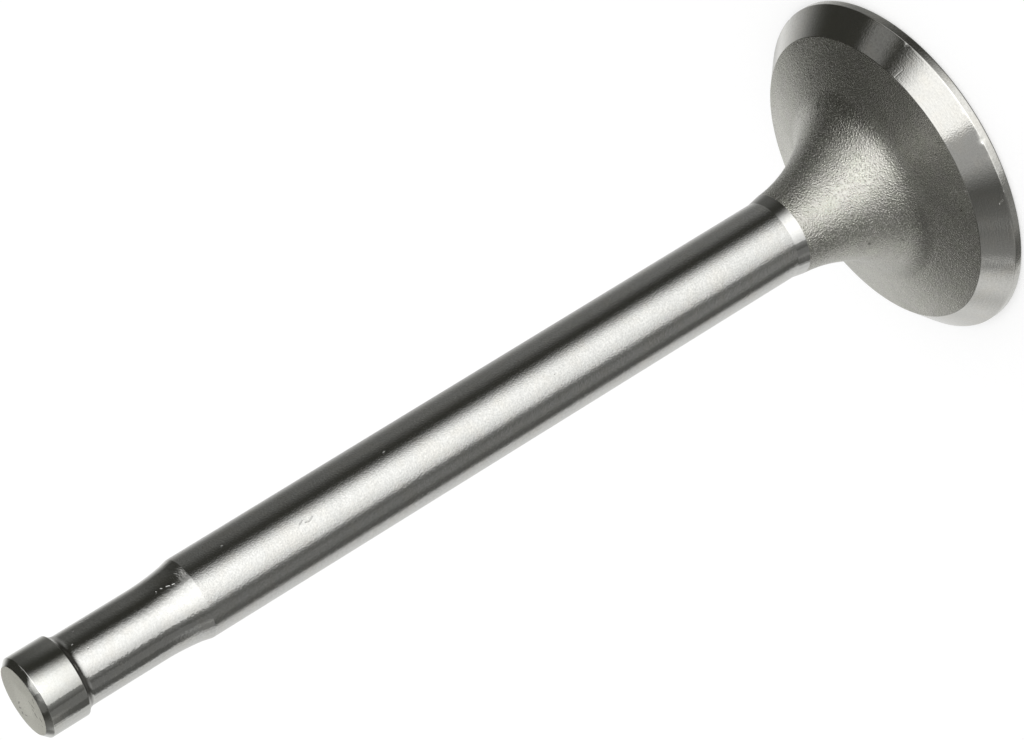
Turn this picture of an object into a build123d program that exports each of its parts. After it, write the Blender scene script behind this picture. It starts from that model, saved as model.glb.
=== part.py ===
from build123d import *
import os
from math import cos, radians, sin, sqrt, tan

# Engine valve, forged and ground in one piece. Millimetres.
# The origin is the centre of the flat head face, on which the valve can stand,
# and +Z runs up the stem to the tip.

# Overall
overall_length = 139.0
stem_diameter = 11.0
head_diameter = 47.8

# Head. Angles are measured from the plane of the head face.
margin_height = 1.2  # plain rim below the sealing face
rim_break = 0.2  # chamfer between the rim and the head face
seat_width = 4.45  # across the sealing face, along its slope
seat_angle = 45.0
back_angle = 16.0  # shallow cone inside the sealing face
back_fillet = 6.5  # tight radius at the foot of the tulip
change_angle = 46.5  # slope at which the tight radius hands over to the long one
tulip_fillet = 20.0  # long radius that sweeps up to the stem
tulip_end_angle = 86.0  # slope at which the forged skin meets the ground stem

# Ground lead-in between the forged tulip and the stem
lead_in_rise = 0.325  # radial step from the stem up to the forged skin
lead_in_length = 1.7

# Keeper neck below the tip
collar_length = 5.9  # full-diameter collar, tip face to neck
neck_depth = 0.7  # radial depth of the neck below the stem
neck_length = 18.25  # collar to the sharp end of the run-out on the stem
runout_radius = 34.0  # long hollow that brings the neck back towards the stem
lip_length = 1.1  # steeper lip at the end of the run-out, along the stem
lip_angle = 13.5  # slope of that lip from the axis
corner_radius = 1.5  # hollow corner between the neck and the collar
tip_chamfer = 0.75

stem_radius = stem_diameter / 2
head_radius = head_diameter / 2


def rise(radius, low_angle, high_angle):
    """Radial distance covered by an arc between two slopes."""
    return radius * (sin(radians(high_angle)) - sin(radians(low_angle)))


def back_cone_length():
    """Slope length left for the back cone between the sealing face and the tulip."""
    seat_inner_radius = head_radius - seat_width * cos(radians(seat_angle))
    room = seat_inner_radius - stem_radius - lead_in_rise
    arcs = rise(back_fillet, back_angle, change_angle)
    arcs += rise(tulip_fillet, change_angle, tulip_end_angle)
    return (room - arcs) / cos(radians(back_angle))


def head_and_stem():
    """Head, tulip and a plain full-length stem, revolved from one half section."""
    with BuildPart() as blank:
        with BuildSketch(Plane.XZ):
            with BuildLine():
                face = Line((0, 0), (head_radius, 0))
                margin = Line(face @ 1, (head_radius, margin_height))
                seat = PolarLine(margin @ 1, seat_width, 180 - seat_angle)
                back = PolarLine(seat @ 1, back_cone_length(), 180 - back_angle)
                foot = JernArc(back @ 1, back % 1, back_fillet, back_angle - change_angle)
                tulip = JernArc(foot @ 1, foot % 1, tulip_fillet, change_angle - tulip_end_angle)
                lead_in_top = (tulip @ 1).Y + lead_in_length
                Line(tulip @ 1, (stem_radius, lead_in_top))
                Line((stem_radius, lead_in_top), (stem_radius, overall_length))
                Line((stem_radius, overall_length), (0, overall_length))
                Line((0, overall_length), (0, 0))
            make_face()
        revolve(axis=Axis.Z)
        chamfer(blank.edges().group_by(Axis.Z)[0], rim_break)
        chamfer(blank.edges().group_by(Axis.Z)[-1], tip_chamfer)
    return blank.part


def reach(radius, depth):
    """Length along the stem that an arc tangent to the neck needs to climb a depth."""
    return sqrt(radius**2 - (radius - depth) ** 2)


def keeper_neck():
    """Ring of metal ground away for the keepers: hollow corner, long run-out and its lip."""
    neck_radius = stem_radius - neck_depth
    clear = stem_radius + 1
    collar = overall_length - collar_length
    neck_end = collar - neck_length
    lip_top = neck_end + lip_length
    lip_radius = stem_radius - lip_length * tan(radians(lip_angle))
    wall_top = collar - reach(corner_radius, neck_depth)
    wall_foot = lip_top + reach(runout_radius, lip_radius - neck_radius)
    with BuildPart() as ring:
        with BuildSketch(Plane.XZ):
            with BuildLine():
                wall = Line((neck_radius, wall_top), (neck_radius, wall_foot))
                TangentArc(wall @ 1, (lip_radius, lip_top), tangent=wall % 1)
                TangentArc(wall @ 0, (stem_radius, collar), tangent=-(wall % 0))
                Line((lip_radius, lip_top), (stem_radius, neck_end))
                Polyline((stem_radius, neck_end), (clear, neck_end), (clear, collar), (stem_radius, collar))
            make_face()
        revolve(axis=Axis.Z)
    return ring.part


def make_valve():
    valve = head_and_stem() - keeper_neck()
    valve.label = "valve"
    return valve


valve = make_valve()
os.makedirs("parts", exist_ok=True)
export_step(valve, "parts/valve.step")
box = valve.bounding_box()
print("valve", box.size, "volume", round(valve.volume), "solids", len(valve.solids()))
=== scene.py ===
import math

import bmesh
import bpy
from mathutils import Matrix, Vector


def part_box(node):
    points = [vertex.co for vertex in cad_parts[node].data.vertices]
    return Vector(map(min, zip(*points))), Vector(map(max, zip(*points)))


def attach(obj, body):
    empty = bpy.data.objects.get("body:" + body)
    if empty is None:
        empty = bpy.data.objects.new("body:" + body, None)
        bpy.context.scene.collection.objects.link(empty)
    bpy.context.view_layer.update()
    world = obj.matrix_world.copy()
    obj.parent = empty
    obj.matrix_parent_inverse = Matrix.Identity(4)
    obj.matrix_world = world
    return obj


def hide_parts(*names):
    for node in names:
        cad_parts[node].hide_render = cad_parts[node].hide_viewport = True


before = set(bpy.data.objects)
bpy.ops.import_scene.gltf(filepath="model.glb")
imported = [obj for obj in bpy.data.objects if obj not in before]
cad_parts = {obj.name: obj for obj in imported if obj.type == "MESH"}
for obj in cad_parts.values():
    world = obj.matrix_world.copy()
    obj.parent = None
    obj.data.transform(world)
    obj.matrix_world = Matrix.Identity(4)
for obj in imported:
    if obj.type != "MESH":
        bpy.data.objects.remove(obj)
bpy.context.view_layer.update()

mm = 0.001
print("frame loaded, nodes:", sorted(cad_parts))


# ---- node helpers

def addNode(tree, kind, inputs=None, **settings):
    node = tree.nodes.new(kind)
    for name, value in settings.items():
        setattr(node, name, value)
    for key, value in (inputs or {}).items():
        plug(tree, value, node.inputs[key])
    return node


def plug(tree, value, socket):
    # a socket gets a link, anything else is set as its value
    if isinstance(value, bpy.types.NodeSocket):
        tree.links.new(value, socket)
    else:
        socket.default_value = value


def calc(tree, operation, *values, clamp=False):
    node = addNode(tree, "ShaderNodeMath", operation=operation, use_clamp=clamp)
    for socket, value in zip(node.inputs, values):
        plug(tree, value, socket)
    return node.outputs[0]


def remap(tree, value, fromMin, fromMax, toMin=0.0, toMax=1.0, smooth=False):
    node = addNode(tree, "ShaderNodeMapRange",
                   interpolation_type="SMOOTHSTEP" if smooth else "LINEAR")
    for name, entry in (("Value", value), ("From Min", fromMin), ("From Max", fromMax),
                        ("To Min", toMin), ("To Max", toMax)):
        plug(tree, entry, node.inputs[name])
    return node.outputs["Result"]


def mixColour(tree, factor, first, second, blend="MIX"):
    node = addNode(tree, "ShaderNodeMix", data_type="RGBA", blend_type=blend)
    # sockets 6, 7 and output 2 are the node's colours
    for socket, value in ((node.inputs[0], factor), (node.inputs[6], first),
                          (node.inputs[7], second)):
        plug(tree, value, socket)
    return node.outputs[2]


def startGroup(name, inputs, outputs):
    # inputs and outputs are lists of (socket name, socket type, default)
    group = bpy.data.node_groups.new(name, "ShaderNodeTree")
    for inOut, sockets in (("INPUT", inputs), ("OUTPUT", outputs)):
        for socketName, socketType, default in sockets:
            socket = group.interface.new_socket(socketName, in_out=inOut, socket_type=socketType)
            if default is not None:
                socket.default_value = default
    groupIn = group.nodes.new("NodeGroupInput")
    groupOut = group.nodes.new("NodeGroupOutput")
    return group, groupIn.outputs, groupOut.inputs


def useGroup(tree, group, **inputs):
    node = addNode(tree, "ShaderNodeGroup", node_tree=group)
    for name, value in inputs.items():
        plug(tree, value, node.inputs[name])
    return node.outputs


# ---- valve mesh

valveSizes = {
    "length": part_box("valve")[1][2],
    "headRadius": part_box("valve")[1][0],
    "stemRadius": 5.5 * mm,
    "marginHeight": 1.2 * mm,
    "rimBreak": 0.2 * mm,
    "seatWidth": 4.45 * mm,
    "seatAngle": 45,
    "backAngle": 16,
    "footRadius": 6.5 * mm,
    "changeAngle": 46.5,
    "tulipRadius": 20 * mm,
    "tulipEndAngle": 86,
    "leadInRise": 0.325 * mm,
    "leadInLength": 1.7 * mm,
    "collarLength": 5.9 * mm,
    "neckDepth": 0.7 * mm,
    "neckLength": 18.25 * mm,
    "lipLength": 1.1 * mm,
    "lipAngle": 13.5,
    "runoutRadius": 34 * mm,
    "cornerRadius": 1.5 * mm,
    "tipChamfer": 0.75 * mm,
    "roundSteps": 512,
    "arcSteps": 20,
}

# how far each edge has lost its sharpness, and the levels of extra rings round the seat's edge
edgeWear = {"rim": 0.05 * mm, "seat": 0.06 * mm, "skin": 0.07 * mm, "leadIn": 0.03 * mm,
            "crease": 0.012 * mm, "collar": 0.08 * mm, "tip": 0.06 * mm}
ringLevels = [level * mm for level in (0.55, 0.8, 1.0, 1.4, 1.6, 1.9, 2.4)]

# small dents: azimuth in degrees, level, width and depth in mm
edgeDents = [
    {"azimuth": -7.2, "level": 1.15, "width": 1.1, "depth": 0.11},
    {"azimuth": -5.0, "level": 1.2, "width": 0.7, "depth": 0.05},
    {"azimuth": 3.5, "level": 1.2, "width": 0.8, "depth": 0.045},
    {"azimuth": -12.5, "level": 1.25, "width": 0.8, "depth": 0.05},
    {"azimuth": -24.0, "level": 1.2, "width": 0.7, "depth": 0.04},
    {"azimuth": 31.0, "level": 1.2, "width": 0.9, "depth": 0.05},
    {"azimuth": 96.0, "level": 1.2, "width": 1.0, "depth": 0.06},
    {"azimuth": 163.0, "level": 1.15, "width": 0.9, "depth": 0.06},
    {"azimuth": -118.0, "level": 1.2, "width": 1.0, "depth": 0.05},
]


def lineTo(bm, vert, radius, height):
    # carries the outline on with a straight stretch
    fresh = bmesh.ops.extrude_vert_indiv(bm, verts=[vert])["verts"][0]
    fresh.co = (radius, 0, height)
    return fresh


def arcTo(bm, vert, centre, degrees, steps):
    # carries the outline on round a centre; positive turns from +Z towards +X
    turned = bmesh.ops.spin(bm, geom=[vert], cent=(centre[0], 0, centre[1]), axis=(0, 1, 0),
                            angle=math.radians(degrees), steps=steps, use_duplicate=False)
    return [item for item in turned["geom_last"] if isinstance(item, bmesh.types.BMVert)][0]


# the two arcs of the tulip: radius, slope where it starts, slope where it ends
tulipArcs = (("footRadius", "backAngle", "changeAngle"),
             ("tulipRadius", "changeAngle", "tulipEndAngle"))


def backConeLength(s, seatInner):
    room = seatInner - s["stemRadius"] - s["leadInRise"]
    for radius, low, high in tulipArcs:
        room -= s[radius] * (math.sin(math.radians(s[high])) - math.sin(math.radians(s[low])))
    return room / math.cos(math.radians(s["backAngle"]))


def arcReach(radius, depth):
    # how far along the valve an arc runs while it climbs by depth
    return math.sqrt(depth * (2 * radius - depth))


def drawHead(bm, s, vert, levels, corners):
    # face, margin, seat and tulip, up to the foot of the lead-in
    slope = {name: math.radians(s[name])
             for name in ("seatAngle", "backAngle", "changeAngle", "tulipEndAngle")}
    vert = lineTo(bm, vert, s["headRadius"] - s["rimBreak"], 0)
    corners.append((vert, "rim"))
    vert = lineTo(bm, vert, s["headRadius"], s["rimBreak"])
    corners.append((vert, "rim"))
    vert = lineTo(bm, vert, s["headRadius"], s["marginHeight"])
    corners.append((vert, "seat"))
    seatInner = s["headRadius"] - s["seatWidth"] * math.cos(slope["seatAngle"])
    levels["seatTop"] = s["marginHeight"] + s["seatWidth"] * math.sin(slope["seatAngle"])
    vert = lineTo(bm, vert, seatInner, levels["seatTop"])
    corners.append((vert, "skin"))
    cone = backConeLength(s, seatInner)
    vert = lineTo(bm, vert, seatInner - cone * math.cos(slope["backAngle"]),
                  levels["seatTop"] + cone * math.sin(slope["backAngle"]))
    for radius, low, high in tulipArcs:
        centre = (vert.co.x + s[radius] * math.sin(slope[low]),
                  vert.co.z + s[radius] * math.cos(slope[low]))
        vert = arcTo(bm, vert, centre, s[high] - s[low], s["arcSteps"])
    corners.append((vert, "leadIn"))
    levels["tulipTop"] = vert.co.z
    return vert


def drawKeeperNeck(bm, s, vert, levels, corners):
    # lip, run-out, straight neck and the hollow corner under the collar
    corners.append((vert, "crease"))
    lipRadius = s["stemRadius"] - s["lipLength"] * math.tan(math.radians(s["lipAngle"]))
    vert = lineTo(bm, vert, lipRadius, levels["stemTop"] + s["lipLength"])
    neckRadius = s["stemRadius"] - s["neckDepth"]
    reach = arcReach(s["runoutRadius"], lipRadius - neckRadius)
    centre = (neckRadius + s["runoutRadius"], vert.co.z + reach)
    turn = math.degrees(math.asin(reach / s["runoutRadius"]))
    vert = arcTo(bm, vert, centre, turn, s["arcSteps"])
    wallTop = levels["shoulder"] - arcReach(s["cornerRadius"], s["neckDepth"])
    vert = lineTo(bm, vert, neckRadius, wallTop)
    turn = math.degrees(math.acos(1 - s["neckDepth"] / s["cornerRadius"]))
    vert = arcTo(bm, vert, (neckRadius + s["cornerRadius"], wallTop), turn, s["arcSteps"] // 2)
    corners.append((vert, "collar"))
    return vert


def drawOutline(bm, s):
    # half section from the centre of the head face to the centre of the tip
    levels = {}
    corners = []
    vert = drawHead(bm, s, bm.verts.new((0, 0, 0)), levels, corners)
    levels["leadInTop"] = vert.co.z + s["leadInLength"]
    vert = lineTo(bm, vert, s["stemRadius"], levels["leadInTop"])
    corners.append((vert, "leadIn"))
    levels["shoulder"] = s["length"] - s["collarLength"]
    levels["stemTop"] = levels["shoulder"] - s["neckLength"]
    vert = lineTo(bm, vert, s["stemRadius"], levels["stemTop"])
    vert = drawKeeperNeck(bm, s, vert, levels, corners)
    vert = lineTo(bm, vert, s["stemRadius"], s["length"] - s["tipChamfer"])
    corners.append((vert, "tip"))
    vert = lineTo(bm, vert, s["stemRadius"] - s["tipChamfer"], s["length"])
    corners.append((vert, "tip"))
    lineTo(bm, vert, 0, s["length"])
    for corner, wear in corners:
        bmesh.ops.bevel(bm, geom=[corner], offset=edgeWear[wear], offset_type="OFFSET",
                        segments=4, profile=0.5, affect="VERTICES", material=-1)
    return levels


def pressDents(bm, s, dents):
    bm.normal_update()
    for dent in dents:
        turn = math.radians(dent["azimuth"])
        middle = Vector((s["headRadius"] * math.sin(turn), -s["headRadius"] * math.cos(turn),
                         dent["level"] * mm))
        for vert in bm.verts:
            share = (vert.co - middle).length / (dent["width"] * mm / 2)
            if share < 1:
                vert.co -= vert.normal * dent["depth"] * mm * (1 - share * share) ** 2


def zoneOf(face, s, levels):
    # which finish a face takes, from where it lies along the valve
    middle = face.calc_center_median()
    if middle.z < 0.5 * s["rimBreak"] and abs(face.normal.z) > 0.9:
        return "headFace"
    if middle.z > s["length"] - 0.03 * mm and abs(face.normal.z) > 0.9:
        return "tipFace"
    for zone, top in (("margin", s["marginHeight"]), ("seat", levels["seatTop"]),
                      ("tulip", levels["tulipTop"]), ("leadIn", levels["leadInTop"]),
                      ("stem", levels["stemTop"]), ("neck", levels["shoulder"])):
        if middle.z <= top + 0.005 * mm:
            return zone
    return "collar"


def makeValve(s, materials):
    bm = bmesh.new()
    levels = drawOutline(bm, s)
    bmesh.ops.spin(bm, geom=bm.verts[:] + bm.edges[:], cent=(0, 0, 0), axis=(0, 0, 1),
                   angle=2 * math.pi, steps=s["roundSteps"], use_merge=True, use_duplicate=False)
    bmesh.ops.remove_doubles(bm, verts=bm.verts[:], dist=0.001 * mm)
    for level in ringLevels:
        bmesh.ops.bisect_plane(bm, geom=bm.verts[:] + bm.edges[:] + bm.faces[:],
                               plane_co=(0, 0, level), plane_no=(0, 0, 1))
    bmesh.ops.recalc_face_normals(bm, faces=bm.faces[:])
    names = list(materials)
    for face in bm.faces:
        face.smooth = True
        face.material_index = names.index(zoneOf(face, s, levels))
    pressDents(bm, s, edgeDents)
    mesh = bpy.data.meshes.new("valveBody")
    bm.to_mesh(mesh)
    bm.free()
    for name in names:
        mesh.materials.append(materials[name])
    piece = bpy.data.objects.new("valveBody", mesh)
    bpy.context.scene.collection.objects.link(piece)
    shading = piece.modifiers.new("flatsStayFlat", "WEIGHTED_NORMAL")
    shading.mode = "FACE_AREA"
    shading.weight = 100
    triangles = sum(len(polygon.vertices) - 2 for polygon in mesh.polygons)
    print("valve mesh:", triangles, "triangles")
    return piece


# ---- shader node groups shared by the finishes
# each takes the place on the surface in mm

def makeStipple():
    # fine even speckle left by grinding with a worn wheel
    group, given, result = startGroup(
        "stipple",
        [("Vector", "NodeSocketVector", None), ("Grain mm", "NodeSocketFloat", 0.16)],
        [("Height", "NodeSocketFloat", None), ("Value", "NodeSocketFloat", None),
         ("Cloud", "NodeSocketFloat", None)])
    scale = calc(group, "DIVIDE", 1.0, given["Grain mm"])
    for name, factor, detail in (("Height", 1.0, 1.0), ("Value", 0.8, 1.5), ("Cloud", 0.05, 4.0)):
        noise = addNode(group, "ShaderNodeTexNoise", {
            "Vector": given["Vector"], "Scale": calc(group, "MULTIPLY", scale, factor),
            "Detail": detail, "Roughness": 0.6})
        plug(group, noise.outputs[0], result[name])
    return group


def makeTurningLines():
    # lines that run round the axis; z less the radius keeps them apart on flat faces too
    group, given, result = startGroup(
        "turningLines",
        [("Vector", "NodeSocketVector", None), ("Lines Per mm", "NodeSocketFloat", 6.0),
         ("Round Scale", "NodeSocketFloat", 0.25)],
        [("Height", "NodeSocketFloat", None)])
    axes = addNode(group, "ShaderNodeSeparateXYZ", {0: given["Vector"]}).outputs
    radius = calc(group, "SQRT", calc(group, "ADD", calc(group, "MULTIPLY", axes[0], axes[0]),
                                      calc(group, "MULTIPLY", axes[1], axes[1])))
    along = calc(group, "SUBTRACT", axes[2], radius)
    stretched = addNode(group, "ShaderNodeCombineXYZ", {
        0: calc(group, "MULTIPLY", axes[0], given["Round Scale"]),
        1: calc(group, "MULTIPLY", axes[1], given["Round Scale"]),
        2: calc(group, "MULTIPLY", along, given["Lines Per mm"])})
    noise = addNode(group, "ShaderNodeTexNoise", {
        "Vector": stretched.outputs[0], "Scale": 1.0, "Detail": 2.0, "Roughness": 0.6})
    plug(group, noise.outputs[0], result["Height"])
    return group


def makeSpecks():
    # scattered dots: 1 inside a dot, 0 outside
    group, given, result = startGroup(
        "specks",
        [("Vector", "NodeSocketVector", None), ("Spacing mm", "NodeSocketFloat", 2.0),
         ("Share", "NodeSocketFloat", 0.3), ("Size", "NodeSocketFloat", 0.1)],
        [("Mask", "NodeSocketFloat", None)])
    cells = addNode(group, "ShaderNodeTexVoronoi", {
        "Vector": given["Vector"], "Scale": calc(group, "DIVIDE", 1.0, given["Spacing mm"])})
    chosen = addNode(group, "ShaderNodeSeparateColor", {0: cells.outputs["Color"]}).outputs
    pick = calc(group, "LESS_THAN", chosen[0], given["Share"])
    size = calc(group, "MULTIPLY", given["Size"], calc(group, "ADD", chosen[1], 0.3))
    edge = remap(group, cells.outputs["Distance"], size, calc(group, "MULTIPLY", size, 0.5),
                 smooth=True)
    plug(group, calc(group, "MULTIPLY", edge, pick), result["Mask"])
    return group


def makeBlastGrain():
    # the skin that shot blasting leaves: a faint ripple set with small round pimples
    group, given, result = startGroup(
        "blastGrain",
        [("Vector", "NodeSocketVector", None), ("Grain mm", "NodeSocketFloat", 0.25),
         ("Pimples", "NodeSocketFloat", 1.0)],
        [("Height", "NodeSocketFloat", None), ("Value", "NodeSocketFloat", None),
         ("Glint", "NodeSocketFloat", None), ("Cloud", "NodeSocketFloat", None)])
    scale = calc(group, "DIVIDE", 1.0, given["Grain mm"])
    ripple = addNode(group, "ShaderNodeTexNoise", {
        "Vector": given["Vector"], "Scale": scale, "Detail": 2.0, "Roughness": 0.6})
    cells = addNode(group, "ShaderNodeTexVoronoi", {"Vector": given["Vector"], "Scale": scale})
    dice = addNode(group, "ShaderNodeSeparateColor", {"Color": cells.outputs["Color"]})
    reach = remap(group, dice.outputs[0], 0.0, 1.0, 0.4, 0.75)
    inside = calc(group, "DIVIDE", cells.outputs["Distance"], reach)
    dome = calc(group, "MAXIMUM", calc(group, "SUBTRACT", 1.0, calc(group, "MULTIPLY", inside, inside)),
                0.0)
    lift = calc(group, "MULTIPLY", calc(group, "MULTIPLY", dome, reach), given["Pimples"])
    plug(group, calc(group, "ADD", ripple.outputs[0], lift), result["Height"])
    plug(group, ripple.outputs[0], result["Value"])
    plug(group, dome, result["Glint"])
    cloud = addNode(group, "ShaderNodeTexNoise", {
        "Vector": given["Vector"], "Scale": calc(group, "MULTIPLY", scale, 0.06), "Detail": 4.0,
        "Roughness": 0.6})
    plug(group, cloud.outputs[0], result["Cloud"])
    return group


def makeScratch():
    # 1 along a straight stroke between two points, 0 away from it
    group, given, result = startGroup(
        "scratch",
        [("Vector", "NodeSocketVector", None), ("Start", "NodeSocketVector", None),
         ("End", "NodeSocketVector", None), ("Width mm", "NodeSocketFloat", 0.1)],
        [("Mask", "NodeSocketFloat", None)])
    stroke = addNode(group, "ShaderNodeVectorMath", {0: given["End"], 1: given["Start"]},
                     operation="SUBTRACT").outputs[0]
    away = addNode(group, "ShaderNodeVectorMath", {0: given["Vector"], 1: given["Start"]},
                   operation="SUBTRACT").outputs[0]
    ahead = addNode(group, "ShaderNodeVectorMath", {0: away, 1: stroke},
                    operation="DOT_PRODUCT").outputs["Value"]
    whole = addNode(group, "ShaderNodeVectorMath", {0: stroke, 1: stroke},
                    operation="DOT_PRODUCT").outputs["Value"]
    share = calc(group, "DIVIDE", ahead, calc(group, "ADD", whole, 0.000001), clamp=True)
    nearest = addNode(group, "ShaderNodeVectorMath", {0: stroke}, operation="SCALE")
    plug(group, share, nearest.inputs["Scale"])
    gap = addNode(group, "ShaderNodeVectorMath", {0: away, 1: nearest.outputs[0]},
                  operation="DISTANCE").outputs["Value"]
    plug(group, remap(group, gap, given["Width mm"], calc(group, "MULTIPLY", given["Width mm"], 0.3),
                      smooth=True), result["Mask"])
    return group


stipple = makeStipple()
turningLines = makeTurningLines()
specks = makeSpecks()
blastGrain = makeBlastGrain()
scratch = makeScratch()


# ---- finishes

def startMaterial(name, roughness):
    material = bpy.data.materials.new(name)
    material.use_nodes = True
    tree = material.node_tree
    shader = tree.nodes["Principled BSDF"]
    shader.inputs["Metallic"].default_value = 1.0
    shader.inputs["Roughness"].default_value = roughness
    place = addNode(tree, "ShaderNodeTexCoord")
    inMm = addNode(tree, "ShaderNodeVectorMath", {0: place.outputs["Object"]}, operation="SCALE")
    inMm.inputs["Scale"].default_value = 1 / mm
    return material, tree, shader, inMm.outputs[0]


def tintBy(tree, colour, *shades):
    # colour brightened or dimmed by each shade in turn
    total = shades[0]
    for shade in shades[1:]:
        total = calc(tree, "MULTIPLY", total, shade)
    tinted = addNode(tree, "ShaderNodeVectorMath", {0: colour}, operation="SCALE")
    plug(tree, total, tinted.inputs["Scale"])
    return tinted.outputs[0]


def setBump(tree, shader, height, depth):
    # depth is the height of the relief in mm
    bump = addNode(tree, "ShaderNodeBump", {"Height": height, "Strength": 1.0,
                                            "Distance": depth * mm})
    plug(tree, bump.outputs[0], shader.inputs["Normal"])


def spotAt(azimuth, radius, level):
    # a place on the surface in mm, azimuth in degrees from -Y towards +X
    turn = math.radians(azimuth)
    return (radius * math.sin(turn), -radius * math.cos(turn), level)


def strokesMask(tree, spot, strokes):
    # each stroke is its start, its end and its width in mm
    total = 0.0
    for start, end, width in strokes:
        mask = useGroup(tree, scratch, **{"Vector": spot, "Start": spotAt(*start),
                                          "End": spotAt(*end), "Width mm": width})["Mask"]
        total = calc(tree, "MAXIMUM", total, mask)
    return total


groundFinishes = {
    # stipple, waves and lines are depths in mm; spread is how far the roughness wanders,
    # shade how far the colour does, and specks the share of places that carry a dark dot
    "stem": {"colour": (0.6, 0.6, 0.587), "roughness": 0.1, "spread": 0.05, "grainMm": 0.18,
             "stipple": 0.02, "waves": 0.004, "lines": 0.003, "linesPerMm": 5, "shade": 0.1,
             "specks": 0.1},
    "neck": {"colour": (0.6, 0.6, 0.587), "roughness": 0.085, "spread": 0.04, "grainMm": 0.22,
             "stipple": 0.01, "waves": 0.016, "lines": 0.003, "linesPerMm": 5, "shade": 0.07,
             # the neck's colour darkens between the two corner levels: painted shade in the hollow
             # corner under the collar
             "specks": 0.14, "paintedCornerShadeFrom": 132.1, "paintedCornerShadeTo": 132.5},
    "collar": {"colour": (0.6, 0.603, 0.583), "roughness": 0.08, "spread": 0.03, "grainMm": 0.22,
               "stipple": 0.005, "waves": 0.006, "lines": 0.002, "linesPerMm": 5, "shade": 0.05,
               "specks": 0.1},
    "leadIn": {"colour": (0.62, 0.62, 0.61), "roughness": 0.09, "spread": 0.03, "grainMm": 0.3,
               "stipple": 0.005, "waves": 0.004, "lines": 0.003, "linesPerMm": 6, "shade": 0.04,
               "specks": 0.02},
    "seat": {"colour": (0.61, 0.605, 0.583), "roughness": 0.11, "spread": 0.04, "grainMm": 0.22,
             "stipple": 0.007, "waves": 0.002, "lines": 0.008, "linesPerMm": 5, "shade": 0.07,
             "specks": 0.04},
    "margin": {"colour": (0.61, 0.605, 0.58), "roughness": 0.18, "spread": 0.06, "grainMm": 0.25,
               "stipple": 0.012, "waves": 0.006, "lines": 0.006, "linesPerMm": 5, "shade": 0.08,
               "specks": 0.1},
    "headFace": {"colour": (0.57, 0.565, 0.55), "roughness": 0.24, "spread": 0.06, "grainMm": 0.35,
                 "stipple": 0.008, "waves": 0.006, "lines": 0.006, "linesPerMm": 3, "shade": 0.08,
                 "specks": 0.05},
}

# what all the ground faces share
# patina and specks are the steel's own colour; the dark corner colour is painted shade for the hollow
# under the collar
groundDirtAndShade = {"patina": (1.0, 0.985, 0.96, 1), "patinaShare": 0.8, "patinaScale": 0.45,
              "paintedCornerShade": (0.12, 0.115, 0.1, 1), "paintedCornerShadeShare": 0.7,
              "speck": (0.1, 0.09, 0.08, 1), "speckSpacing": 3.0, "speckSize": 0.05}
grainWeight = 0.8        # how far grain, rather than turning lines, sets the roughness and shade

# handling marks cut into the ground faces
groundStrokes = {
    "stem": [((38.2, 5.5, 109.17), (38.0, 5.5, 109.3), 0.12),
             ((8.4, 5.5, 97.7), (5.0, 5.5, 98.3), 0.1), ((5.0, 5.5, 98.3), (6.0, 5.5, 98.9), 0.1),
             ((10.8, 5.5, 99.1), (7.5, 5.5, 99.7), 0.1),
             ((67.6, 5.5, 92.5), (67.0, 5.5, 92.7), 0.12),
             ((63.7, 5.5, 88.6), (63.2, 5.5, 88.8), 0.12),
             ((46.4, 5.5, 72.97), (46, 5.5, 73.1), 0.12),
             ((31.4, 5.5, 85.1), (30.6, 5.5, 85.3), 0.1),
             ((-22.9, 5.5, 85.3), (-22, 5.5, 85.5), 0.1)],
    "neck": [((70.2, 4.8, 128.8), (67.5, 4.8, 127.5), 0.13),
             ((57.1, 4.8, 130.0), (56.5, 4.8, 130.1), 0.14),
             ((33.8, 4.85, 131.4), (33.2, 4.85, 131.5), 0.12),
             ((35.3, 4.9, 119.2), (33.5, 4.9, 119.3), 0.13),
             ((35.7, 4.95, 118.5), (34.4, 4.97, 118.4), 0.12),
             ((32.7, 5.02, 117.8), (31, 5.05, 117.5), 0.13),
             ((29.9, 5.11, 117.1), (29.0, 5.12, 116.9), 0.12),
             ((16.7, 4.8, 130.1), (16.2, 4.8, 130.2), 0.11)],
    "seat": [((27.4, 20.9, 4.2), (26.8, 21.87, 3.23), 0.12),
             ((-27.5, 23.61, 1.49), (-28.5, 23.2, 1.9), 0.1)],
}
strokeDepth = 0.03       # mm


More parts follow.
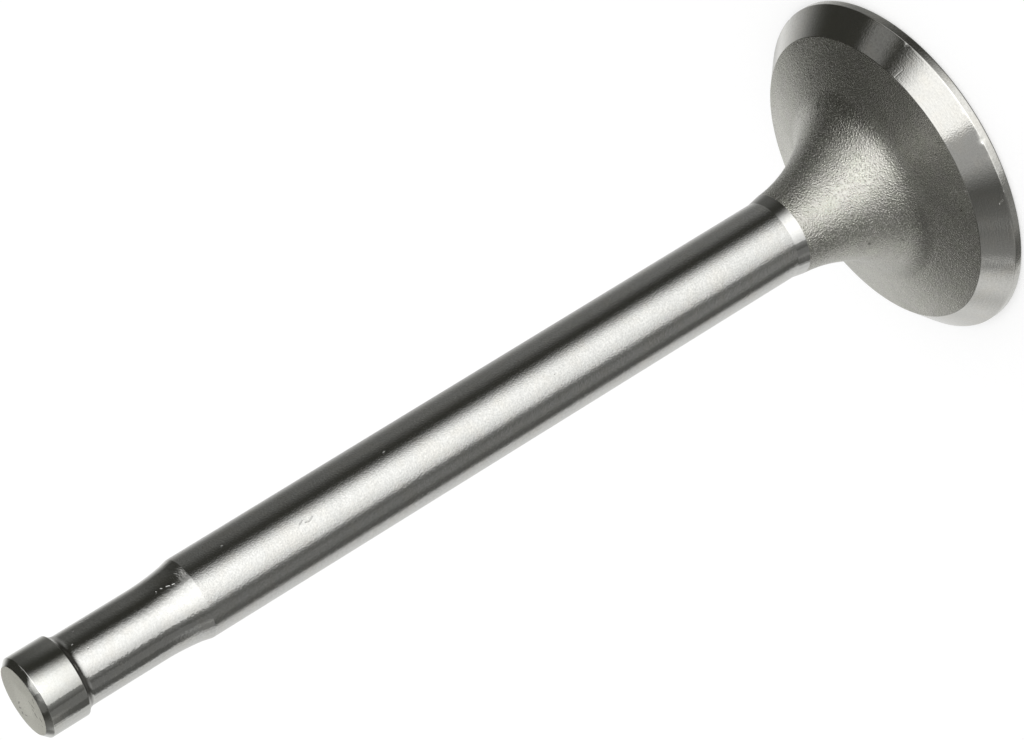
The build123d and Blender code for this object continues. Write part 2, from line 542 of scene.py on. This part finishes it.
def makeGroundSteel(name, finish):
    material, tree, shader, spot = startMaterial(name + "Steel", finish["roughness"])
    grain = useGroup(tree, stipple, **{"Vector": spot, "Grain mm": finish["grainMm"]})
    lines = useGroup(tree, turningLines, **{
        "Vector": spot, "Lines Per mm": finish["linesPerMm"], "Round Scale": 0.6})
    marks = useGroup(tree, specks, **{
        "Vector": spot, "Spacing mm": groundDirtAndShade["speckSpacing"], "Share": finish["specks"],
        "Size": groundDirtAndShade["speckSize"]})
    wander = calc(tree, "ADD", calc(tree, "MULTIPLY", grain["Value"], grainWeight),
                  calc(tree, "MULTIPLY", lines["Height"], 1 - grainWeight))
    plug(tree, remap(tree, wander, 0.35, 0.65, finish["roughness"] - finish["spread"],
                     finish["roughness"] + finish["spread"]), shader.inputs["Roughness"])
    shade = finish["shade"]
    steel = tintBy(tree, finish["colour"],
                   remap(tree, wander, 0.3, 0.7, 1 + shade, 1 - shade),
                   remap(tree, grain["Cloud"], 0.3, 0.7, 0.97, 1.03))
    patina = addNode(tree, "ShaderNodeTexNoise", {
        "Vector": spot, "Scale": groundDirtAndShade["patinaScale"], "Detail": 3.0})
    steel = mixColour(tree, remap(tree, patina.outputs[0], 0.45, 0.7, 0.0, groundDirtAndShade["patinaShare"]),
                      steel, groundDirtAndShade["patina"], blend="MULTIPLY")
    if "paintedCornerShadeFrom" in finish:
        level = addNode(tree, "ShaderNodeSeparateXYZ", {0: spot}).outputs[2]
        # painted shade: the colour darkens into the hollow corner under the collar
        paintedCornerShade = remap(tree, level, finish["paintedCornerShadeFrom"], finish["paintedCornerShadeTo"], 0.0,
                      groundDirtAndShade["paintedCornerShadeShare"])
        steel = mixColour(tree, paintedCornerShade, steel, groundDirtAndShade["paintedCornerShade"])
    plug(tree, mixColour(tree, marks["Mask"], steel, groundDirtAndShade["speck"]),
         shader.inputs["Base Color"])
    waves = addNode(tree, "ShaderNodeTexNoise", {"Vector": spot, "Scale": 1.6, "Detail": 1.0})
    relief = calc(tree, "ADD", calc(tree, "MULTIPLY", grain["Height"], finish["stipple"]),
                  calc(tree, "MULTIPLY", lines["Height"], finish["lines"]))
    relief = calc(tree, "ADD", relief, calc(tree, "MULTIPLY", waves.outputs[0], finish["waves"]))
    if name in groundStrokes:
        cuts = strokesMask(tree, spot, groundStrokes[name])
        relief = calc(tree, "SUBTRACT", relief, calc(tree, "MULTIPLY", cuts, strokeDepth))
    setBump(tree, shader, relief, 1.0)
    return material


tulipFinish = {"colour": (0.505, 0.494, 0.463), "roughness": 0.28, "grainMm": 0.23,
               "pimples": 0.75, "depth": 0.077, "pitShare": 0.25, "pitSize": 0.05,
               "pitSpacing": 3.2, "pit": (0.14, 0.13, 0.11, 1), "stain": (0.06, 0.062, 0.045, 1),
               "stainShare": 0.62, "bloom": (0.97, 1.0, 0.95, 1),
               "roughTo": 8.0, "smoothFrom": 15.0, "smoothShare": 0.35}    # radii in mm

# stains and pits on the blasted skin, and fine bright scratches near the seat
tulipStains = [((77.1, 12.35, 7.09), (76.8, 12.0, 7.3), 0.42),
               ((74.9, 11.31, 7.96), (74.8, 11.0, 8.3), 0.3),
               ((81.5, 15.79, 5.77), (81.3, 15.6, 5.8), 0.3),
               ((-59.0, 8.25, 12.14), (-59.0, 8.15, 12.3), 0.24),
               ((-55.9, 10.7, 8.63), (-55.5, 10.6, 8.7), 0.22),
               ((-68.1, 13.51, 6.47), (-68.3, 13.4, 6.5), 0.17),
               ((-65.9, 15.01, 5.99), (-65.5, 14.8, 6.0), 0.17),
               ((-54.8, 9.87, 9.64), (-54.6, 9.8, 9.7), 0.16)]
tulipStrokes = [((-21.0, 18.88, 4.88), (-23.7, 19.32, 4.76), 0.13),
                ((-20.4, 20.1, 4.53), (-22.1, 20.62, 4.38), 0.12),
                ((-33.6, 15.09, 5.97), (-33.4, 15.0, 6.0), 0.14)]


def makeTulipSkin(finish):
    material, tree, shader, spot = startMaterial("blastedSkin", finish["roughness"])
    grain = useGroup(tree, blastGrain, **{
        "Vector": spot, "Grain mm": finish["grainMm"], "Pimples": finish["pimples"]})
    pits = useGroup(tree, specks, **{
        "Vector": spot, "Spacing mm": finish["pitSpacing"], "Share": finish["pitShare"],
        "Size": finish["pitSize"]})
    # the colour is a little lighter on the pimple tops: painted glints
    skin = tintBy(tree, finish["colour"],
                  remap(tree, grain["Glint"], 0.2, 0.9, 0.97, 1.05),
                  remap(tree, grain["Cloud"], 0.3, 0.7, 0.93, 1.07))
    bloom = addNode(tree, "ShaderNodeTexNoise", {"Vector": spot, "Scale": 0.55, "Detail": 2.0})
    skin = mixColour(tree, remap(tree, bloom.outputs[0], 0.35, 0.65, 0.0, 0.7), skin,
                     finish["bloom"], blend="MULTIPLY")
    stained = strokesMask(tree, spot, tulipStains)
    skin = mixColour(tree, calc(tree, "MULTIPLY", stained, finish["stainShare"]), skin,
                     finish["stain"])
    plug(tree, mixColour(tree, pits["Mask"], skin, finish["pit"]),
         shader.inputs["Base Color"])
    plug(tree, remap(tree, grain["Glint"], 0.2, 0.8, finish["roughness"],
                     finish["roughness"] * 0.7), shader.inputs["Roughness"])
    cuts = strokesMask(tree, spot, tulipStrokes)
    relief = calc(tree, "SUBTRACT", calc(tree, "MULTIPLY", grain["Height"], finish["depth"]),
                  calc(tree, "MULTIPLY", cuts, strokeDepth))
    # the skin is roughest in the throat and evens out towards the seat
    axes = addNode(tree, "ShaderNodeSeparateXYZ", {0: spot}).outputs
    radius = calc(tree, "SQRT", calc(tree, "ADD", calc(tree, "MULTIPLY", axes[0], axes[0]),
                                     calc(tree, "MULTIPLY", axes[1], axes[1])))
    relief = calc(tree, "MULTIPLY", relief, remap(
        tree, radius, finish["roughTo"], finish["smoothFrom"], 1.0, finish["smoothShare"]))
    setBump(tree, shader, relief, 1.0)
    return material


tipFinish = {"colour": (0.7, 0.693, 0.625), "roughness": 0.5, "depth": 0.01, "grainMm": 0.16,
             "worn": (0.2, 0.19, 0.17, 1), "wornShare": 0.9, "speck": (0.4, 0.39, 0.35, 1),
             "speckSpacing": 1.3, "speckShare": 0.2, "speckSize": 0.12}
tipStrokes = [((-14, 3.6, 139), (-5, 3.9, 139), 0.1), ((-22, 2.4, 139), (-30, 2.7, 139), 0.12),
              ((-20, 2.1, 139), (-10, 2.0, 139), 0.08), ((-52, 2.5, 139), (-60, 2.8, 139), 0.16),
              ((-50, 3.6, 139), (-55, 3.9, 139), 0.14), ((-47, 2.3, 139), (-42, 2.1, 139), 0.1),
              ((-158, 3.4, 139), (-160, 3.2, 139), 0.2), ((-172, 3.0, 139), (-168, 2.7, 139), 0.13),
              ((-139, 2.7, 139), (-150, 3.0, 139), 0.1), ((174.5, 1.79, 139), (179, 2.3, 139), 0.14)]


def makeTipFace(finish):
    material, tree, shader, spot = startMaterial("tipFaceSteel", finish["roughness"])
    grain = useGroup(tree, stipple, **{"Vector": spot, "Grain mm": finish["grainMm"]})
    marks = useGroup(tree, specks, **{
        "Vector": spot, "Spacing mm": finish["speckSpacing"], "Share": finish["speckShare"],
        "Size": finish["speckSize"]})
    face = tintBy(tree, finish["colour"], remap(tree, grain["Value"], 0.3, 0.7, 0.9, 1.1),
                  remap(tree, grain["Cloud"], 0.3, 0.7, 0.95, 1.05))
    worn = calc(tree, "MULTIPLY", strokesMask(tree, spot, tipStrokes), finish["wornShare"])
    face = mixColour(tree, worn, face, finish["worn"])
    plug(tree, mixColour(tree, marks["Mask"], face, finish["speck"]),
         shader.inputs["Base Color"])
    setBump(tree, shader, grain["Height"], finish["depth"])
    return material


materials = {name: makeGroundSteel(name, finish) for name, finish in groundFinishes.items()}
materials["tulip"] = makeTulipSkin(tulipFinish)
materials["tipFace"] = makeTipFace(tipFinish)
print("finishes:", ", ".join(materials))

valveBody = makeValve(valveSizes, materials)
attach(valveBody, "root")
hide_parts("valve")


# ---- floor

floorLook = {"size": 8.0, "own": 0.5, "lit": 0.53, "gap": 0.05 * mm}


def makeFloor(look):
    bm = bmesh.new()
    bmesh.ops.create_grid(bm, x_segments=1, y_segments=1, size=look["size"] / 2)
    bmesh.ops.translate(bm, verts=bm.verts[:], vec=(0, 0, -look["gap"]))
    mesh = bpy.data.meshes.new("floor")
    bm.to_mesh(mesh)
    bm.free()
    floor = bpy.data.objects.new("floor", mesh)
    bpy.context.scene.collection.objects.link(floor)
    floor.visible_glossy = False      # polished steel mirrors the studio, not the bare floor
    floor.visible_shadow = False
    material = bpy.data.materials.new("paleFloor")
    material.use_nodes = True
    tree = material.node_tree
    tree.nodes.remove(tree.nodes["Principled BSDF"])
    glow = addNode(tree, "ShaderNodeEmission", {"Color": (1, 1, 1, 1)})
    seen = addNode(tree, "ShaderNodeLightPath").outputs["Is Camera Ray"]
    plug(tree, calc(tree, "MULTIPLY", seen, look["own"]), glow.inputs["Strength"])
    paint = addNode(tree, "ShaderNodeBsdfDiffuse")
    paint.inputs["Color"].default_value = (look["lit"], look["lit"], look["lit"], 1)
    both = addNode(tree, "ShaderNodeAddShader", {0: glow.outputs[0], 1: paint.outputs[0]})
    plug(tree, both.outputs[0], tree.nodes["Material Output"].inputs["Surface"])
    mesh.materials.append(material)


makeFloor(floorLook)


# ---- studio: what the steel mirrors, as soft panels round the valve
# azimuth 0 is the camera's side and 90 is +X, elevation 0 is level; angles in degrees
# each fade is the width over which a panel's edge dies away

studioPanels = {
    "frontBox": {"azimuth": (-41.8, 52), "azimuthFade": (1, 45), "elevation": (-62, 60),
                 "elevationFade": (8, 25), "strength": 0.56},
    "frontGlow": {"azimuth": (-60, 58), "azimuthFade": (62, 45), "elevation": (-64, 62),
                  "elevationFade": (34, 35), "strength": 0.72},
    "frontGlowHigh": {"azimuth": (-60, 58), "azimuthFade": (62, 45), "elevation": (-36, 62),
                      "elevationFade": (36, 35), "strength": 0.5},
    "frontRight": {"azimuth": (18, 66), "azimuthFade": (14, 32), "elevation": (-14, 44),
                   "elevationFade": (16, 20), "strength": 0.34},
    "topBox": {"azimuth": (-5.5, 74), "azimuthFade": (3, 25), "elevation": (2, 85),
               "elevationFade": (44, 26), "strength": 1.42},
    "topSide": {"azimuth": (-66, -2), "azimuthFade": (32, 4), "elevation": (44, 79),
                "elevationFade": (16, 12), "strength": 0.42},
    "zenith": {"azimuth": (-181, 181), "azimuthFade": (1, 1), "elevation": (60, 91),
               "elevationFade": (16, 1), "strength": 0.06},
    "highLeft": {"azimuth": (-105, -50), "azimuthFade": (14, 14), "elevation": (54, 80),
                 "elevationFade": (6, 10), "strength": 0.13},
    "leftNear": {"azimuth": (-141, -108), "azimuthFade": (18, 3), "elevation": (-54, 33),
                 "elevationFade": (22, 12), "strength": 0.6},
    "leftNearTop": {"azimuth": (-108.5, -102.5), "azimuthFade": (1, 4), "elevation": (-20, 40),
                    "elevationFade": (8, 12), "strength": 0.5},
    "leftFar": {"azimuth": (-181, -122), "azimuthFade": (1, 18), "elevation": (-54, 20),
                "elevationFade": (22, 18), "strength": 0.65},
    "leftHaze": {"azimuth": (-181, -104), "azimuthFade": (1, 10), "elevation": (-5, 56),
                 "elevationFade": (15, 30), "strength": 0.1},
    "leftFill": {"azimuth": (-181, -42.3), "azimuthFade": (1, 2.5), "elevation": (-91, 62),
                 "elevationFade": (1, 30), "strength": 0.08},
    "leftStripLow": {"azimuth": (-88, -44), "azimuthFade": (6, 10), "elevation": (-60, -20),
                     "elevationFade": (20, 14), "strength": 0.11},
    "leftStripMid": {"azimuth": (-87, -58.5), "azimuthFade": (4, 1.5), "elevation": (-60, 62),
                     "elevationFade": (20, 20), "strength": 0.08},
    "leftStripHigh": {"azimuth": (-107, -73), "azimuthFade": (2, 8), "elevation": (-17, 52),
                      "elevationFade": (10, 20), "strength": 0.14},
    "rightWall": {"azimuth": (122, 181), "azimuthFade": (50, 1), "elevation": (-24, 24),
                  "elevationFade": (14, 22), "strength": 0.92},
    "rightFoot": {"azimuth": (112, 181), "azimuthFade": (68, 1), "elevation": (-52, -8),
                  "elevationFade": (20, 24), "strength": 0.68},
    "rightGlow": {"azimuth": (46, 100), "azimuthFade": (20, 26), "elevation": (-2, 32),
                  "elevationFade": (8, 8), "strength": 0.6},
    "rightLow": {"azimuth": (64, 181), "azimuthFade": (35, 1), "elevation": (-56, 5),
                 "elevationFade": (22, 55), "strength": 0.27},
    "rightStrip": {"azimuth": (77, 102), "azimuthFade": (6, 6), "elevation": (31, 50),
                   "elevationFade": (4, 7), "strength": 0.2},
    "ceilingLeft": {"azimuth": (-181, -105), "azimuthFade": (1, 25), "elevation": (56, 91),
                    "elevationFade": (12, 1), "strength": 0.28},
    "ceilingRight": {"azimuth": (105, 181), "azimuthFade": (25, 1), "elevation": (56, 91),
                     "elevationFade": (12, 1), "strength": 0.28},
    "backLeft": {"azimuth": (-181, -156), "azimuthFade": (1, 14), "elevation": (8, 42),
                 "elevationFade": (10, 14), "strength": 0.85},
    "backRight": {"azimuth": (158, 181), "azimuthFade": (14, 1), "elevation": (8, 42),
                  "elevationFade": (10, 14), "strength": 0.6},
    "below": {"azimuth": (-181, 181), "azimuthFade": (1, 1), "elevation": (-91, -48),
              "elevationFade": (1, 22), "strength": 0.1},
}
studioBase = {"shade": (0.04, 0.04, 0.034), "panel": (1.0, 1.0, 0.992)}


def makePanelGroup():
    group, given, result = startGroup(
        "studioPanel",
        [(name, "NodeSocketFloat", 0.0) for name in (
            "Azimuth", "Elevation", "Azimuth From", "Azimuth To", "Fade From", "Fade To",
            "Elevation From", "Elevation To", "Low Fade", "High Fade", "Strength")],
        [("Light", "NodeSocketFloat", None)])
    light = given["Strength"]
    for angle, low, high, lowFade, highFade in (
            ("Azimuth", "Azimuth From", "Azimuth To", "Fade From", "Fade To"),
            ("Elevation", "Elevation From", "Elevation To", "Low Fade", "High Fade")):
        rise = remap(group, given[angle], given[low],
                     calc(group, "ADD", given[low], given[lowFade]), smooth=True)
        fall = remap(group, given[angle], given[high],
                     calc(group, "SUBTRACT", given[high], given[highFade]), smooth=True)
        light = calc(group, "MULTIPLY", light, calc(group, "MULTIPLY", rise, fall))
    plug(group, light, result["Light"])
    return group


def makeStudio(panels, base):
    world = bpy.data.worlds.new("studio")
    bpy.context.scene.world = world
    world.use_nodes = True
    tree = world.node_tree
    background = tree.nodes["Background"]
    direction = addNode(tree, "ShaderNodeTexCoord").outputs["Generated"]
    axes = addNode(tree, "ShaderNodeSeparateXYZ", {0: direction}).outputs
    azimuth = calc(tree, "ARCTAN2", axes[0], calc(tree, "MULTIPLY", axes[1], -1.0))
    azimuth = calc(tree, "DEGREES", azimuth)
    elevation = calc(tree, "DEGREES", calc(tree, "ARCSINE", axes[2]))
    panelGroup = makePanelGroup()
    total = 0.0
    for panel in panels.values():
        light = useGroup(tree, panelGroup, **{
            "Azimuth": azimuth, "Elevation": elevation,
            "Azimuth From": panel["azimuth"][0], "Azimuth To": panel["azimuth"][1],
            "Fade From": panel["azimuthFade"][0], "Fade To": panel["azimuthFade"][1],
            "Elevation From": panel["elevation"][0], "Elevation To": panel["elevation"][1],
            "Low Fade": panel["elevationFade"][0], "High Fade": panel["elevationFade"][1],
            "Strength": panel["strength"]})["Light"]
        total = calc(tree, "ADD", total, light)
    lit = addNode(tree, "ShaderNodeVectorMath", {0: base["panel"]}, operation="SCALE")
    plug(tree, total, lit.inputs["Scale"])
    studio = addNode(tree, "ShaderNodeVectorMath", {0: lit.outputs[0], 1: base["shade"]},
                     operation="ADD").outputs[0]
    mirrored = addNode(tree, "ShaderNodeLightPath").outputs["Is Glossy Ray"]
    plug(tree, mixColour(tree, mirrored, (1, 1, 1, 1), studio), background.inputs["Color"])


makeStudio(studioPanels, studioBase)
print("studio:", len(studioPanels), "panels")


# ---- camera

cameraSetup = {
    "place": Vector((3.25, -473.94, 265.66)) * mm,
    "down": 23.17,        # degrees below level, looking along +Y
    "roll": -121.46,      # turned about the line of sight, so the stem runs to the lower left
    "lens": 143.74,
    "sensorWidth": 36,
    "clip": (0.01, 50),
}


def makeCamera(setup):
    data = bpy.data.cameras.new("camera")
    data.lens = setup["lens"]
    data.sensor_width = setup["sensorWidth"]
    data.clip_start = setup["clip"][0]
    data.clip_end = setup["clip"][1]
    camera = bpy.data.objects.new("camera", data)
    bpy.context.scene.collection.objects.link(camera)
    level = Matrix.Rotation(math.radians(90 - setup["down"]), 4, "X")
    roll = Matrix.Rotation(math.radians(setup["roll"]), 4, "Z")
    camera.matrix_world = Matrix.Translation(setup["place"]) @ level @ roll
    bpy.context.scene.camera = camera


makeCamera(cameraSetup)
bpy.context.scene.view_settings.view_transform = "Standard"
print("camera ready")
